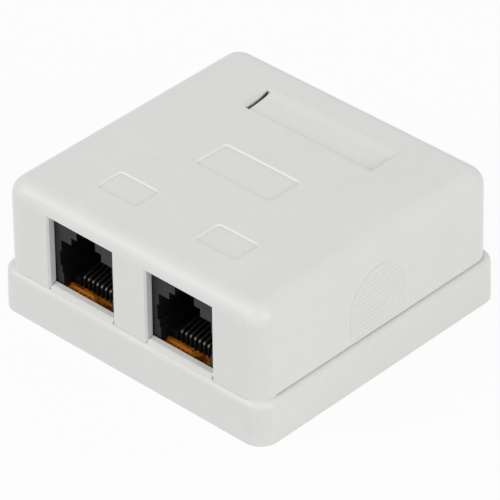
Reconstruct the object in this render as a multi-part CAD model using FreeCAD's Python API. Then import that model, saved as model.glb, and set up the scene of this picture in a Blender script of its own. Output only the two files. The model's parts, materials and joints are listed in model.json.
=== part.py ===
import FreeCAD, Part

import math
import os

# Surface mount jack box: two eight-way jacks on a small board in a two-piece snap housing.
# Millimetres. The ports face -Y, X runs across them and Z is up from the wall.
# The origin is the middle of the underside, where the box lies on the wall.
# The housing is wrapped round its contents, so its outer sizes follow from theirs.

# Hidden pins and holes have few flat sides, to keep the model light
PIN_SIDES = 12
SMALL_HOLE_SIDES = 6
POST_SIDES = 16
SCREW_HEAD_SIDES = 20
HIDDEN_CORNER_STEPS = 3      # flats round a corner that the housing hides
PLATE_CORNER_STEPS = 4
GRIP_ARCH_STEPS = 24
LEAST_R = 0.3                # no inner corner is sharper than this

# Board and the order of things on it, from the ports backwards
FLOOR = 1.8                  # floor of the base
POST_HEIGHT = 3.6            # board posts above the floor
BOARD_THICKNESS = 1.6
FACE_GAP = 0.18              # base wall to board edge and jack face
JACK_DEPTH = 18.0
TERMINAL_GAP = 2.55          # jack to terminal block
BOARD_REAR_EDGE = 2.3        # board behind the terminal block
BOARD_SIDE_EDGE = 3.5        # board beside the jacks
SIDE_ROOM = 8.75             # jack to inner side wall
REAR_ROOM = 19.03            # board to inner rear wall, where cables come in
JACK_SPACING = 6.3           # between the two jacks

# Socket opening, as seen from the port side
PLUG_WIDTH = 11.84
PLUG_HEIGHT = 6.7
SPRING_BAY_HEIGHT = 3.1      # under the plug, where the springs bend
PLUG_LEDGE = 0.26            # ledge on each side that the plug runs on
NOTCH_DEPTH = 0.45           # shallow relief in each side wall
NOTCH_HEIGHT = 3.05
NOTCH_LIFT = 1.35            # relief above the ledge
LATCH_WIDE = 7.0
LATCH_WIDE_HEIGHT = 1.5
LATCH_NARROW = 4.32
LATCH_NARROW_HEIGHT = 1.7
SOCKET_DEPTH = 13.5
JACK_SIDE_WALL = 1.78
JACK_ROOF = 1.0
PEG_R = 0.8
PEG_FIT = 0.05
PEG_LENGTH = 2.0             # pegs below the jack, through the board
PEG_SETBACK = 12.1

# Contacts
CONTACT_COUNT = 8
CONTACT_PITCH = 1.016
SPRING_WIDTH = 0.46
SPRING_THICKNESS = 0.3
SPRING_SETBACK = 2.75        # jack face to the upright of the spring
SPRING_RUN_HEIGHT = 0.7      # run under the comb, above the board
SPRING_KNEE_HEIGHT = 3.2     # knee of the spring, above the board
SPRING_SLOPE_DEG = 14.0
SPRING_BEND_R = 0.5
BEND_STEP_DEG = 30           # bends turn in steps of about this angle
SPRING_TIP_GAP = 0.35        # tip to the back of the comb
TAIL_FIRST_ROW = 11.6        # jack face to the first row of tails
TAIL_ROW_STEP = 2.54
TAIL_LENGTH = 1.0            # tails below the board
TAIL_HOLE_R = 0.4

# Amber guide strip on the socket floor, and the black comb behind the springs' uprights
CARRIER_THICKNESS = 1.4
CARRIER_TUCK = 0.55          # carrier beyond each side of the spring bay
CARRIER_DEPTH = 11.0
CARRIER_FIT = 0.05
GROOVE_WIDTH = 0.62
GROOVE_FIT = 0.1             # groove in front of the uprights
GUIDE_NOTCH_LENGTH = 0.95
GUIDE_NOTCH_DEPTH = 0.55
GUIDE_NOTCH_SETBACK = 0.3
GUIDE_RIDGE_LENGTH = 0.6
GUIDE_RIDGE_HEIGHT = 0.35
GUIDE_RIDGE_SETBACK = 1.4
COMB_FIT = 0.1
COMB_SETBACK = 2.2
COMB_HEIGHT = 1.75
COMB_FLOOR = 0.25
COMB_SLOT_BEHIND = 0.45      # open slot behind each upright
COMB_BACK_THICKNESS = 1.0
COMB_BACK_HEIGHT = 5.8
WIRING_BAY_DEPTH = 15.6      # space under the socket floor for the tails

# Terminal blocks and their blades
TERMINAL_PITCH = 3.3
TERMINALS_PER_ROW = 4
TERMINAL_END_WALL = 0.7
TERMINAL_ROW_DEPTH = 4.4
TERMINAL_CHANNEL = 3.6       # between the two rows, where the pairs come up
TERMINAL_CHANNEL_FLOOR = 3.5
TERMINAL_HEIGHT = 10.5
WIRE_SLIT = 0.9
WIRE_SLIT_DEPTH = 6.0
WIRE_MOUTH = 2.0
WIRE_MOUTH_DEPTH = 1.4
BLADE_WIDTH = 2.4
BLADE_THICKNESS = 0.4
BLADE_FIT = 0.1
BLADE_HEIGHT = 8.8
BLADE_SLIT = 0.34
BLADE_SLIT_DEPTH = 4.6
BLADE_MOUTH_DEPTH = 1.0
BLADE_SHOULDER = 0.45        # bevel at each upper corner
BLADE_TAIL_WIDTH = 0.7
BLADE_TAIL_LENGTH = 0.9
BLADE_HOLE_R = 0.5

# Board fixing
POST_R = 2.5
POST_OFFSET = 1.55           # post axis from the side of the jack
FRONT_POST_SETBACK = 7.0
REAR_POST_INSET = 3.2
PIN_R = 1.0
PIN_FIT = 0.1
PIN_STANDOUT = 0.6
SCREW_R = 1.1
SCREW_LENGTH = 4.8
SCREW_TIP_ROOM = 0.3
SCREW_HEAD_R = 1.9
SCREW_HEAD_HEIGHT = 1.4
SCREW_HOLE_FIT = 0.15
SCREW_CROWN_HEIGHT = 0.6     # bevelled top of the head
SCREW_RECESS_REACH = 1.2     # arm of the cross recess, from its middle
SCREW_RECESS_WIDTH = 0.5
SCREW_RECESS_DEPTH = 0.6
SCREW_CLEARANCE = 0.75       # screw head to terminal block

# Base tray
BASE_WALL = 2.3
BASE_CORNER_R = 3.6
BASE_DRAFT_DEG = 1.2
RIM_HEIGHT = 8.25
RIM_ROUND = 1.15
RIM_ROUND_LIMIT = 0.6        # its greatest share of the wall
SILL_RISE = 0.95             # sill tab in each port, above the rim
SILL_FIT = 0.12
SILL_FALL = 0.2              # gentle fall of its top towards the front
SILL_BEVEL_DEPTH = 0.5       # steeper front edge
SILL_BEVEL_HEIGHT = 0.35
WALL_SCREW_R = 2.1
WALL_SCREW_INSET = 9.2       # from the inner side wall
CABLE_HOLE_WIDTH = 16.0
CABLE_HOLE_DEPTH = 10.0
CABLE_HOLE_R = 2.0
KNOCKOUT_WIDTH = 12.0
KNOCKOUT_WEB = 0.6
KNOCKOUT_LIFT = 1.2
TIE_WIDTH = 5.0
TIE_DEPTH = 2.4
TIE_HEIGHT = 3.2
TIE_HOLE_WIDTH = 3.0
TIE_HOLE_HEIGHT = 1.6
TIE_SPREAD = 22.0
TIE_INSET = 2.6              # tie anchor from the inner rear wall

# Cover
COVER_SIDE_WALL = 1.22
COVER_END_WALL = 1.49
COVER_ROOF = 1.6
COVER_HEADROOM = 2.02        # jack top to the underside of the roof
COVER_CORNER_R = 3.9
COVER_TOP_ROUND = 3.35
COVER_DRAFT_DEG = 0.5
SHADOW_GAP = 0.3             # groove between the halves, along the sides and the rear
SHADOW_DEPTH = 0.55
PORT_OVERLAP = 0.75          # cover over each side of the jack face
PORT_HEAD_GAP = 0.25         # jack top to the head of the port
PORT_EDGE_CHAMFER = 0.35
PORT_FOOT_R = 0.4
INNER_BEVEL = 0.8            # bevel inside the top edges, as a share of the rounding there
LIP_THICKNESS = 0.9
LIP_DEPTH = 2.4
LIP_ROOT = 3.0
LIP_CLEARANCE = 0.1
LIP_GAP = 1.0                # on each side of a tongue
RIB_THICKNESS = 1.0
RIB_SPREAD = 9.0
RIB_LENGTH = 12.0
RIB_GAP = 0.1                # hold-down rib to jack top

# Snap latches
LATCH_SPREAD = 30.0
TONGUE_WIDTH = 8.0
TONGUE_THICKNESS = 1.1
TONGUE_DEPTH = 5.4           # below the rim
TONGUE_WINDOW_WIDTH = 5.0
TONGUE_WINDOW_HEIGHT = 1.6
TONGUE_LEAD = 0.4            # bevel at the tip
TONGUE_ROOT = 0.8            # slope where it leaves the wall
WINDOW_PLAY = 0.1
WEDGE_STANDOUT = 0.35
WEDGE_HEIGHT = 1.4
WEDGE_FLAT = 0.3             # upright face at its tip
WEDGE_DROP = 1.9             # top of the wedge below the rim
WEDGE_WIDTH = 4.4
WEDGE_CLEARANCE = 0.05

# Recesses in the top of the cover
LABEL_WIDTH = 30.2
LABEL_DEPTH = 7.2
LABEL_SINK = 1.1
LABEL_BAND = 1.8             # shallow band along the rear
LABEL_BAND_SINK = 0.6
LABEL_LEFT_SLOPE = 0.4
LABEL_RIGHT_SLOPE = 0.12
LABEL_REAR_R = 0.9
LABEL_SURROUND = 1.2         # floor slab beyond the recess
LABEL_FLOOR = 1.2
LABEL_SETBACK = 7.45         # rear of the recess from the rear of the cover
SLIT_WIDTH = 0.75
SLIT_LENGTH = 5.5
SLIT_SETBACK = 0.6          # from the rear of the recess
PLATE_WIDTH = 17.4
PLATE_DEPTH = 7.8
PLATE_SINK = 0.3
PLATE_SLOPE = 0.25           # sloped edge all round
PLATE_CORNER_R = 0.9
ICON_WIDTH = 9.3
ICON_DEPTH = 6.0
ICON_SINK = 0.25
ICON_SLOPE = 0.2
ICON_CORNER_R = 0.85
ICON_SETBACK = 11.9          # from the front of the cover

# Finger grip on each side of the cover
GRIP_WIDTH = 14.0
GRIP_STRAIGHT = 5.75         # straight part of the arch above the rim
GRIP_STANDOUT = 0.1
GRIP_FOOT = 0.6
GRIP_GROOVE_PITCH = 0.88
GRIP_GROOVE_WIDTH = 0.4
GRIP_GROOVE_DEPTH = 0.04
GRIP_CROWN = 0.4             # plain top of the arch

# Heights above the wall
BOARD_UNDER = FLOOR + POST_HEIGHT
BOARD_TOP = BOARD_UNDER + BOARD_THICKNESS
SOCKET_FLOOR = BOARD_TOP + CARRIER_THICKNESS
PLUG_FLOOR = SOCKET_FLOOR + SPRING_BAY_HEIGHT
PLUG_TOP = PLUG_FLOOR + PLUG_HEIGHT
LATCH_STEP = PLUG_TOP + LATCH_WIDE_HEIGHT
LATCH_TOP = LATCH_STEP + LATCH_NARROW_HEIGHT
JACK_TOP = LATCH_TOP + JACK_ROOF
ROOF_UNDER = JACK_TOP + COVER_HEADROOM
COVER_TOP = ROOF_UNDER + COVER_ROOF
PORT_TOP = JACK_TOP + PORT_HEAD_GAP

# Widths across the ports
SPRING_BAY_WIDTH = PLUG_WIDTH - 2 * PLUG_LEDGE
NOTCH_WIDTH = PLUG_WIDTH + 2 * NOTCH_DEPTH
JACK_WIDTH = NOTCH_WIDTH + 2 * JACK_SIDE_WALL
PORT_X = (JACK_WIDTH + JACK_SPACING) / 2
PORT_WIDTH = JACK_WIDTH - 2 * PORT_OVERLAP
BOARD_HALF = PORT_X + JACK_WIDTH / 2 + BOARD_SIDE_EDGE
INNER_HALF_X = PORT_X + JACK_WIDTH / 2 + SIDE_ROOM
TERMINAL_WIDTH = TERMINALS_PER_ROW * TERMINAL_PITCH + 2 * TERMINAL_END_WALL
POST_X = PORT_X + JACK_WIDTH / 2 + POST_OFFSET
TERMINAL_X = POST_X - SCREW_HEAD_R - SCREW_CLEARANCE - TERMINAL_WIDTH / 2
WALL_SCREW_X = INNER_HALF_X - WALL_SCREW_INSET
CARRIER_WIDTH = SPRING_BAY_WIDTH + 2 * CARRIER_TUCK
PEG_X = (CARRIER_WIDTH + JACK_WIDTH) / 4    # in the middle of the jack's side wall

# Places from front to rear
TERMINAL_DEPTH = 2 * TERMINAL_ROW_DEPTH + TERMINAL_CHANNEL
BOARD_DEPTH = JACK_DEPTH + TERMINAL_GAP + TERMINAL_DEPTH + BOARD_REAR_EDGE
INNER_HALF_Y = (FACE_GAP + BOARD_DEPTH + REAR_ROOM) / 2
JACK_FRONT = -INNER_HALF_Y + FACE_GAP
JACK_REAR = JACK_FRONT + JACK_DEPTH
TERMINAL_FRONT = JACK_REAR + TERMINAL_GAP
TERMINAL_Y = TERMINAL_FRONT + TERMINAL_DEPTH / 2
BOARD_REAR = JACK_FRONT + BOARD_DEPTH
FRONT_POST_Y = JACK_FRONT + FRONT_POST_SETBACK
REAR_POST_Y = BOARD_REAR - REAR_POST_INSET
REAR_ROOM_Y = (BOARD_REAR + INNER_HALF_Y) / 2
SOCKET_BACK = JACK_FRONT + SOCKET_DEPTH
SPRING_Y = JACK_FRONT + SPRING_SETBACK
COMB_FRONT = JACK_FRONT + COMB_SETBACK
COMB_BACK = SOCKET_BACK - COMB_FIT
CARRIER_REAR = JACK_FRONT + CARRIER_DEPTH

# Housing outlines
BASE_HALF_X = INNER_HALF_X + BASE_WALL
BASE_HALF_Y = INNER_HALF_Y + BASE_WALL
COVER_HALF_X = INNER_HALF_X + COVER_SIDE_WALL
COVER_HALF_Y = INNER_HALF_Y + COVER_END_WALL
COVER_TAPER = (COVER_TOP - RIM_HEIGHT) * math.tan(math.radians(COVER_DRAFT_DEG))
BASE_TAPER = RIM_HEIGHT * math.tan(math.radians(BASE_DRAFT_DEG))
BASE_INNER_R = max(BASE_CORNER_R - BASE_WALL, LEAST_R)
COVER_INNER_R = max(COVER_CORNER_R - COVER_SIDE_WALL, LEAST_R)
PORT_SIDES = (("left", -1), ("right", 1))

# Overshoot of cutting shapes past the face they cut, and how far the
# features of one moulding run into it before they are joined
PAST = 1.0
ROOTED = 0.3


def save(name, shape):
    shape.exportStep("parts/" + name + ".step")


def vec(x, y, z):
    return FreeCAD.Vector(x, y, z)


def block(x0, x1, y0, y1, z0, z1):
    return Part.makeBox(x1 - x0, y1 - y0, z1 - z0, vec(x0, y0, z0))


def post(x, y, z0, z1, r):
    return Part.makeCylinder(r, z1 - z0, vec(x, y, z0))


def ring_of_points(x, y, z, r, sides):
    turns = [2 * math.pi * (number + 0.5) / sides for number in range(sides)]
    return [vec(x + r * math.cos(turn), y + r * math.sin(turn), z) for turn in turns]


def pin(x, y, z0, z1, r, sides=PIN_SIDES):
    """A hidden pin or a small head: flat sides within the circle of radius r."""
    return plate_from(ring_of_points(x, y, z0, r, sides), vec(0, 0, z1 - z0))


def pin_hole(x, y, z0, z1, r, sides=PIN_SIDES):
    """A hidden hole: flat sides outside the circle of radius r."""
    corner_r = r / math.cos(math.pi / sides)
    return plate_from(ring_of_points(x, y, z0, corner_r, sides), vec(0, 0, z1 - z0))


def rounded_outline(half_x, half_y, r, z, centre=(0.0, 0.0)):
    """A level rectangle with rounded corners."""
    cx, cy = centre
    turns = ((1, 1, 0), (-1, 1, 90), (-1, -1, 180), (1, -1, 270))
    corners = []
    for side_x, side_y, start in turns:
        middle = vec(cx + side_x * (half_x - r), cy + side_y * (half_y - r), z)
        circle = Part.Circle(middle, vec(0, 0, 1), r)
        corners.append(circle.toShape(math.radians(start), math.radians(start + 90)))
    edges = []
    for number, corner in enumerate(corners):
        following = corners[(number + 1) % 4]
        edges.append(corner)
        edges.append(Part.makeLine(corner.Vertexes[-1].Point, following.Vertexes[0].Point))
    return Part.Wire(edges)


def rounded_block(half_x, half_y, r, z0, z1, centre=(0.0, 0.0)):
    face = Part.Face(rounded_outline(half_x, half_y, r, z0, centre))
    return face.extrude(vec(0, 0, z1 - z0))


def flats_outline(half_x, half_y, r, z, steps=HIDDEN_CORNER_STEPS):
    """Points round a level rectangle whose corners turn in a few flats."""
    points = []
    for quarter, (side_x, side_y) in enumerate(((1, 1), (-1, 1), (-1, -1), (1, -1))):
        for step in range(steps + 1):
            turn = math.pi / 2 * (quarter + step / steps)
            points.append(vec(side_x * (half_x - r) + r * math.cos(turn),
                              side_y * (half_y - r) + r * math.sin(turn), z))
    return points


def flats_block(half_x, half_y, r, z0, z1):
    return plate_from(flats_outline(half_x, half_y, r, z0), vec(0, 0, z1 - z0))


def flat_sided(rings):
    """A flat-sided solid through level rings of points, from the lowest to the highest."""
    faces = [flat_face(rings[0]), flat_face(rings[-1])]
    for low, high in zip(rings, rings[1:]):
        for number in range(len(low)):
            following = (number + 1) % len(low)
            faces.append(flat_face([low[number], low[following], high[following], high[number]]))
    return Part.makeSolid(Part.makeShell(faces))


def flat_face(points):
    return Part.Face(Part.makePolygon(points + [points[0]]))


def tapered_block(half_x, half_y, r, z0, z1, taper):
    """A block with rounded uprights whose walls lean in by the taper from z0 to z1."""
    def wall_profile(half):
        return [(half, z0), (half - taper, z1), (taper - half, z1), (-half, z0)]

    straight_x = half_x - r
    straight_y = half_y - r
    body = across_wall(wall_profile(half_x), -straight_y, straight_y)
    lengthwise = [vec(-straight_x, y, z) for y, z in wall_profile(half_y)]
    pieces = [plate_from(lengthwise, vec(2 * straight_x, 0, 0))]
    for x in (-straight_x, straight_x):
        for y in (-straight_y, straight_y):
            pieces.append(Part.makeCone(r, r - taper, z1 - z0, vec(x, y, z0)))
    return body.fuse(pieces).removeSplitter()


def top_edges(solid, z):
    return [edge for edge in solid.Edges if all(abs(v.Z - z) < 1e-6 for v in edge.Vertexes)]


def plate_from(points, direction):
    """A straight-sided plate: the closed outline pushed along the direction."""
    return flat_face(points).extrude(direction)


def across_wall(points_xz, y0, y1):
    """An outline of (x, z) points pushed from y0 to y1."""
    return plate_from([vec(x, y0, z) for x, z in points_xz], vec(0, y1 - y0, 0))


def mirrored(half_profile):
    """An outline from its right half, listed from the bottom up."""
    return half_profile + [(-x, z) for x, z in reversed(half_profile)]


# ---------------------------------------------------------------- base tray

def base_body():
    outer = tapered_block(BASE_HALF_X, BASE_HALF_Y, BASE_CORNER_R, 0, RIM_HEIGHT, BASE_TAPER)
    outer = outer.makeFillet(min(RIM_ROUND, RIM_ROUND_LIMIT * BASE_WALL), top_edges(outer, RIM_HEIGHT))
    inner = rounded_block(INNER_HALF_X, INNER_HALF_Y, BASE_INNER_R, FLOOR, RIM_HEIGHT + PAST)
    return outer.cut(inner)


def sill_tab(port_x):
    """The low tab that closes the foot of a port, with a bevelled front edge."""
    half = PORT_WIDTH / 2 - SILL_FIT
    front = -COVER_HALF_Y + SILL_FIT
    rear = -INNER_HALF_Y
    top = RIM_HEIGHT + SILL_RISE
    root = RIM_HEIGHT - PAST
    side = [(front, root), (rear, root), (rear, top), (front + SILL_BEVEL_DEPTH, top - SILL_FALL),
            (front, top - SILL_FALL - SILL_BEVEL_HEIGHT)]
    points = [vec(port_x - half, y, z) for y, z in side]
    return plate_from(points, vec(2 * half, 0, 0))


def board_posts():
    posts = []
    for side in (-1, 1):
        x = side * POST_X
        posts.append(pin(x, FRONT_POST_Y, FLOOR - ROOTED, BOARD_UNDER, POST_R, POST_SIDES))
        posts.append(pin(x, FRONT_POST_Y, FLOOR, BOARD_TOP + PIN_STANDOUT, PIN_R))
        rear = pin(x, REAR_POST_Y, FLOOR - ROOTED, BOARD_UNDER, POST_R, POST_SIDES)
        hole_bottom = BOARD_TOP - SCREW_LENGTH - SCREW_TIP_ROOM
        posts.append(rear.cut(pin_hole(x, REAR_POST_Y, max(hole_bottom, FLOOR), BOARD_UNDER + PAST, SCREW_R)))
    return posts


def latch_wedge(side, y):
    """A wedge on the inner side wall that the cover's tongue snaps past."""
    wall = side * (INNER_HALF_X + ROOTED)
    tip = side * (INNER_HALF_X - WEDGE_STANDOUT)
    foot = side * INNER_HALF_X
    top = RIM_HEIGHT - WEDGE_DROP
    low = top - WEDGE_HEIGHT
    outline = [(wall, low), (tip, low), (tip, low + WEDGE_FLAT), (foot, top), (wall, top)]
    return across_wall(outline, y - WEDGE_WIDTH / 2, y + WEDGE_WIDTH / 2)


def tie_anchor(x):
    """A small bridge that a cable tie threads through."""
    y1 = INNER_HALF_Y - TIE_INSET
    y0 = y1 - TIE_DEPTH
    bridge = block(x - TIE_WIDTH / 2, x + TIE_WIDTH / 2, y0, y1, FLOOR - ROOTED, FLOOR + TIE_HEIGHT)
    half = TIE_HOLE_WIDTH / 2
    return bridge.cut(block(x - half, x + half, y0 - PAST, y1 + PAST, FLOOR, FLOOR + TIE_HOLE_HEIGHT))


def base_shell():
    body = base_body()
    extras = board_posts()
    for _, side in PORT_SIDES:
        extras.append(sill_tab(side * PORT_X))
        extras.append(tie_anchor(side * TIE_SPREAD / 2))
        for y in (-LATCH_SPREAD / 2, LATCH_SPREAD / 2):
            extras.append(latch_wedge(side, y))
    body = body.fuse(extras)
    cuts = []
    for _, side in PORT_SIDES:
        cuts.append(post(side * WALL_SCREW_X, REAR_ROOM_Y, -PAST, FLOOR + PAST, WALL_SCREW_R))
    hole_centre = (0, REAR_ROOM_Y)
    cuts.append(rounded_block(CABLE_HOLE_WIDTH / 2, CABLE_HOLE_DEPTH / 2, CABLE_HOLE_R,
                              -PAST, FLOOR + PAST, hole_centre))
    web = BASE_HALF_Y - BASE_TAPER - KNOCKOUT_WEB
    cuts.append(block(-KNOCKOUT_WIDTH / 2, KNOCKOUT_WIDTH / 2, INNER_HALF_Y - PAST, web,
                      FLOOR + KNOCKOUT_LIFT, RIM_HEIGHT + PAST))
    return body.cut(cuts).removeSplitter()


# ---------------------------------------------------------------- cover

def cover_walls():
    outer = tapered_block(COVER_HALF_X, COVER_HALF_Y, COVER_CORNER_R, RIM_HEIGHT, COVER_TOP, COVER_TAPER)
    top_round = min(COVER_TOP_ROUND, COVER_CORNER_R - LEAST_R)
    outer = outer.makeFillet(top_round, top_edges(outer, COVER_TOP))
    wall = (COVER_SIDE_WALL + COVER_END_WALL) / 2
    bevel = INNER_BEVEL * min(max(top_round - wall, LEAST_R), COVER_INNER_R)
    rings = []
    for z, inset in ((RIM_HEIGHT, 0.0), (ROOF_UNDER - bevel, COVER_TAPER), (ROOF_UNDER, COVER_TAPER + bevel)):
        corner_r = max(COVER_INNER_R - inset, LEAST_R)
        rings.append(flats_outline(INNER_HALF_X - inset, INNER_HALF_Y - inset, corner_r, z))
    return outer.cut(flat_sided(rings))


def shadow_groove():
    """The thin dark line between cover and rim: along both sides and the rear, not the front."""
    ring = rounded_block(COVER_HALF_X + PAST, COVER_HALF_Y + PAST, COVER_CORNER_R,
                         RIM_HEIGHT - PAST, RIM_HEIGHT + SHADOW_GAP)
    core = rounded_block(COVER_HALF_X - SHADOW_DEPTH, COVER_HALF_Y - SHADOW_DEPTH,
                         COVER_CORNER_R - SHADOW_DEPTH, RIM_HEIGHT - 2 * PAST, RIM_HEIGHT + PAST)
    front_end = -COVER_HALF_Y + COVER_CORNER_R
    front = block(-COVER_HALF_X - 2 * PAST, COVER_HALF_X + 2 * PAST, -COVER_HALF_Y - 2 * PAST, front_end,
                  RIM_HEIGHT - 2 * PAST, RIM_HEIGHT + PAST)
    return ring.cut([core, front])


def inner_lip():
    """The lip that drops inside the base wall, left out along the port side and at the tongues."""
    half_x = INNER_HALF_X - LIP_CLEARANCE
    half_y = INNER_HALF_Y - LIP_CLEARANCE
    low = RIM_HEIGHT - LIP_DEPTH
    high = RIM_HEIGHT + LIP_ROOT
    lip = flats_block(half_x, half_y, BASE_INNER_R, low, high)
    root = flats_block(COVER_HALF_X - COVER_SIDE_WALL / 2, COVER_HALF_Y - COVER_END_WALL / 2,
                        COVER_INNER_R, RIM_HEIGHT + SHADOW_GAP, high)
    hollow_r = max(BASE_INNER_R - LIP_THICKNESS, LEAST_R)
    hollow = flats_block(half_x - LIP_THICKNESS, half_y - LIP_THICKNESS, hollow_r, low - PAST, high + PAST)
    gaps = [hollow]
    gaps.append(block(-BASE_HALF_X, BASE_HALF_X, -BASE_HALF_Y, -INNER_HALF_Y + BASE_CORNER_R,
                      low - PAST, high + PAST))
    gap_half = TONGUE_WIDTH / 2 + LIP_GAP
    for y in (-LATCH_SPREAD / 2, LATCH_SPREAD / 2):
        gaps.append(block(-BASE_HALF_X, BASE_HALF_X, y - gap_half, y + gap_half, low - PAST, high + PAST))
    return lip.fuse(root).cut(gaps)


def latch_tongue(side, y):
    """A springy tongue with a window, drawn just clear of the wedge on the base."""
    outer = INNER_HALF_X - WEDGE_STANDOUT - WEDGE_CLEARANCE
    inner = outer - TONGUE_THICKNESS
    root = COVER_HALF_X - COVER_SIDE_WALL / 2
    half = TONGUE_WIDTH / 2
    low = RIM_HEIGHT - TONGUE_DEPTH
    shoulder = RIM_HEIGHT + SHADOW_GAP
    high = RIM_HEIGHT + LIP_ROOT
    outline = [(inner + TONGUE_LEAD, low), (outer, low), (outer, shoulder), (root, shoulder + TONGUE_ROOT),
               (root, high), (inner, high), (inner, low + 2 * TONGUE_LEAD)]
    tongue = across_wall([(side * x, z) for x, z in outline], y - half, y + half)
    window_top = RIM_HEIGHT - WEDGE_DROP + WINDOW_PLAY
    x0, x1 = sorted((side * (inner - PAST), side * (outer + PAST)))
    window = block(x0, x1, y - TONGUE_WINDOW_WIDTH / 2, y + TONGUE_WINDOW_WIDTH / 2,
                   window_top - TONGUE_WINDOW_HEIGHT, window_top)
    return tongue.cut(window)


def hold_down_ribs():
    """Ribs under the roof that stop the jacks from lifting when a plug is pulled."""
    ribs = []
    y0 = JACK_FRONT + (JACK_DEPTH - RIB_LENGTH) / 2
    for _, side in PORT_SIDES:
        for lean in (-1, 1):
            x = side * PORT_X + lean * RIB_SPREAD / 2
            ribs.append(block(x - RIB_THICKNESS / 2, x + RIB_THICKNESS / 2, y0, y0 + RIB_LENGTH,
                              JACK_TOP + RIB_GAP, ROOF_UNDER + ROOTED))
    return ribs


def label_outline(half, front, rear, z):
    """A level outline with square corners in front and rounded corners at the rear."""
    r = LABEL_REAR_R
    diagonal = r * (1 - math.sqrt(0.5))
    right = Part.Arc(vec(half, rear - r, z), vec(half - diagonal, rear - diagonal, z), vec(half - r, rear, z))
    left = Part.Arc(vec(r - half, rear, z), vec(diagonal - half, rear - diagonal, z), vec(-half, rear - r, z))
    return Part.Wire([Part.makeLine(vec(-half, front, z), vec(half, front, z)),
                      Part.makeLine(vec(half, front, z), vec(half, rear - r, z)), right.toShape(),
                      Part.makeLine(vec(half - r, rear, z), vec(r - half, rear, z)), left.toShape(),
                      Part.makeLine(vec(-half, rear - r, z), vec(-half, front, z))])


def scooped_profile(x, front, rear):
    """The recess from the side: upright front, floor that curves up, and a shallow band at the rear."""
    floor_z = COVER_TOP - LABEL_SINK
    run = rear - LABEL_BAND - front
    rise = LABEL_SINK - LABEL_BAND_SINK
    scoop_r = (run * run + rise * rise) / (2 * rise)
    half_turn = math.asin(run / scoop_r) / 2
    middle = vec(x, front + scoop_r * math.sin(half_turn), floor_z + scoop_r * (1 - math.cos(half_turn)))
    foot = vec(x, front, floor_z)
    band = vec(x, front + run, floor_z + rise)
    edge = vec(x, rear, COVER_TOP)
    above = vec(x, rear, COVER_TOP + PAST)
    start = vec(x, front, COVER_TOP + PAST)
    return Part.Face(Part.Wire([Part.makeLine(start, foot), Part.Arc(foot, middle, band).toShape(),
                                Part.makeLine(band, edge), Part.makeLine(edge, above),
                                Part.makeLine(above, start)]))


def label_recess():
    """Where the paper label goes: floor slab, scooped recess and the slit at its left end."""
    rear = COVER_HALF_Y - COVER_TAPER - LABEL_SETBACK
    front = rear - LABEL_DEPTH
    half = LABEL_WIDTH / 2
    floor_z = COVER_TOP - LABEL_SINK
    slab_half = half + LABEL_SURROUND
    slab = block(-slab_half, slab_half, front - LABEL_SURROUND, rear + LABEL_SURROUND,
                 floor_z - LABEL_FLOOR, ROOF_UNDER + ROOTED)
    scoop = scooped_profile(-half, front, rear).extrude(vec(2 * half, 0, 0))
    below = floor_z - PAST
    lean = (LABEL_SINK + PAST) / LABEL_SINK
    ends = [(-half + LABEL_LEFT_SLOPE * lean, below), (half - LABEL_RIGHT_SLOPE * lean, below),
            (half, COVER_TOP), (half, COVER_TOP + PAST), (-half, COVER_TOP + PAST), (-half, COVER_TOP)]
    outline = Part.Face(label_outline(half, front - PAST, rear, below))
    recess = scoop.common(across_wall(ends, front - PAST, rear + PAST))
    recess = recess.common(outline.extrude(vec(0, 0, 2 * PAST + LABEL_SINK)))
    slit_x = -half + LABEL_LEFT_SLOPE
    slit_rear = rear - SLIT_SETBACK
    slit = block(slit_x, slit_x + SLIT_WIDTH, slit_rear - SLIT_LENGTH, slit_rear,
                 floor_z - LABEL_FLOOR - PAST, floor_z + PAST)
    return slab, [recess, slit]


def sunk_plate(half_x, half_y, r, sink, slope, centre):
    """Cutting shape for a shallow plate in the roof, with sloped edges."""
    lean = slope * (sink + PAST) / sink
    rings = []
    for z, outset in ((COVER_TOP - sink, 0.0), (COVER_TOP + PAST, lean)):
        inset = slope - outset
        rings.append(flats_outline(half_x - inset, half_y - inset, r - inset, z, PLATE_CORNER_STEPS))
    plate = flat_sided(rings)
    plate.translate(vec(centre[0], centre[1], 0))
    return plate


def top_plates():
    """Shallow bare plates: one in the middle and one behind each port."""
    cuts = [sunk_plate(PLATE_WIDTH / 2, PLATE_DEPTH / 2, PLATE_CORNER_R, PLATE_SINK, PLATE_SLOPE, (0, 0))]
    for _, side in PORT_SIDES:
        centre = (side * PORT_X, -COVER_HALF_Y + ICON_SETBACK)
        cuts.append(sunk_plate(ICON_WIDTH / 2, ICON_DEPTH / 2, ICON_CORNER_R, ICON_SINK, ICON_SLOPE, centre))
    return cuts


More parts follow.
